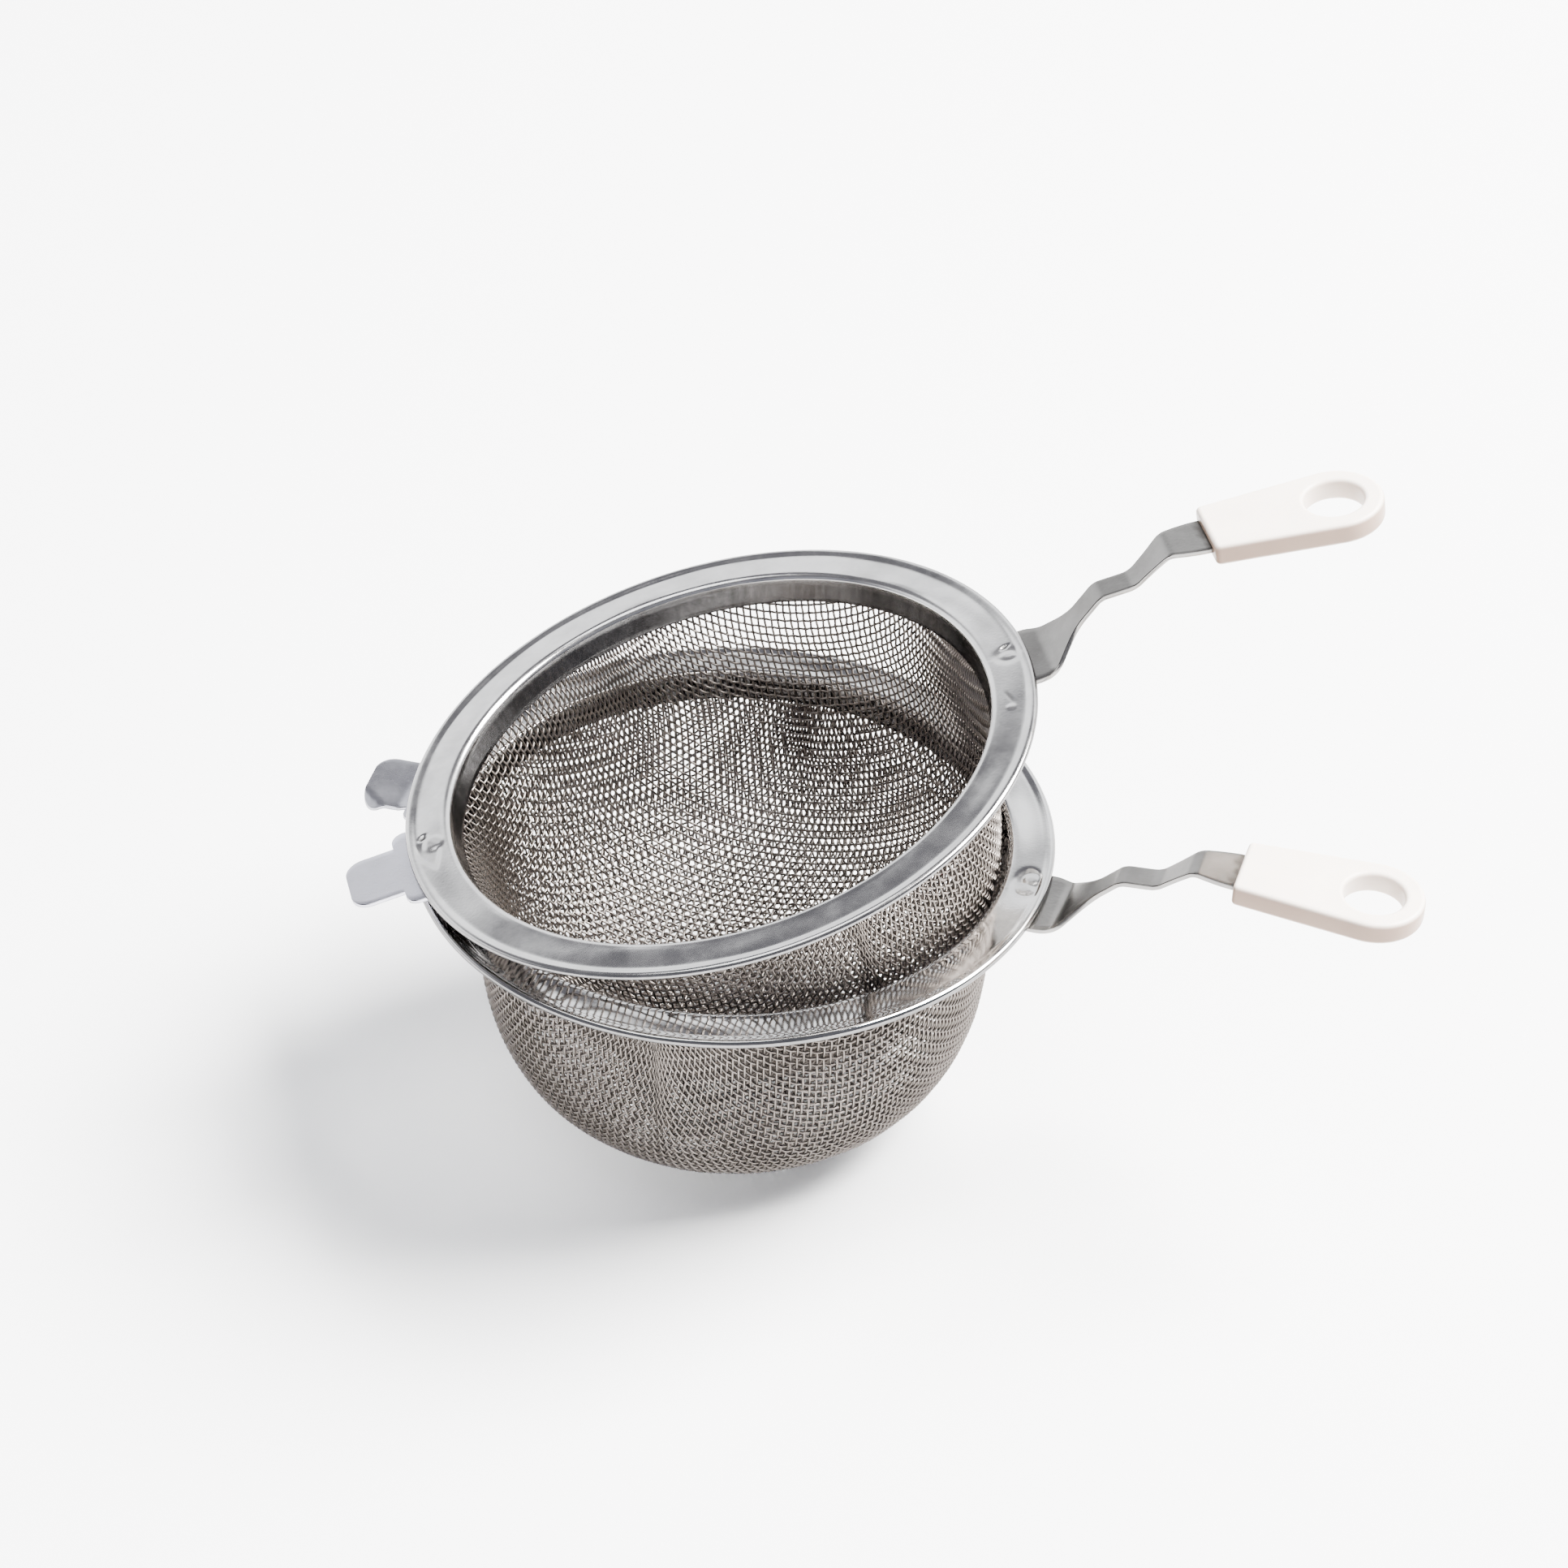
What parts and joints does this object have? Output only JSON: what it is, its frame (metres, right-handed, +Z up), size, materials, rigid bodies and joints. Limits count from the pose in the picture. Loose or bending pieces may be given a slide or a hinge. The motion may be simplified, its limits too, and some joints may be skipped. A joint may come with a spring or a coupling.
{
  "type": "double sieve strainer",
  "caption": "Double honey strainer: a round wire-mesh sieve nested in a second one, each with a rolled steel rim, stepped strap handle, moulded grip and front tab.",
  "frame": {"origin": "on the lower bowl's flat base, under the centre of the lower rim", "axes": "+Z up along the lower sieve's axis, +X out along the lower handle"},
  "size_m": [0.252, 0.1572, 0.1495],
  "materials": {
    "rim_steel": "polished",
    "mesh_wire": "bright drawn wire",
    "strap_steel": "satin",
    "grip_plastic": "glossy ivory",
    "tab_steel": "satin",
    "weld_steel": "dull"
  },
  "bodies": {
    "lower_sieve": {"lower_rim": "rim_steel", "lower_mesh_bowl": "mesh_wire", "lower_handle_strap": "strap_steel", "lower_grip": "grip_plastic", "lower_front_tab": "tab_steel", "lower_spot_welds": "weld_steel"},
    "upper_sieve": {"upper_rim": "rim_steel", "upper_mesh_bowl": "mesh_wire", "upper_handle_strap": "strap_steel", "upper_grip": "grip_plastic", "upper_front_tab": "tab_steel", "upper_spot_welds": "weld_steel"}
  },
  "joints": [
    {"name": "upper_sieve_lift", "type": "slide", "parent": "lower_sieve", "child": "upper_sieve", "axis": [-0.2246, -0.1028, 0.969], "range_m": [0, 0.1]}
  ]
}
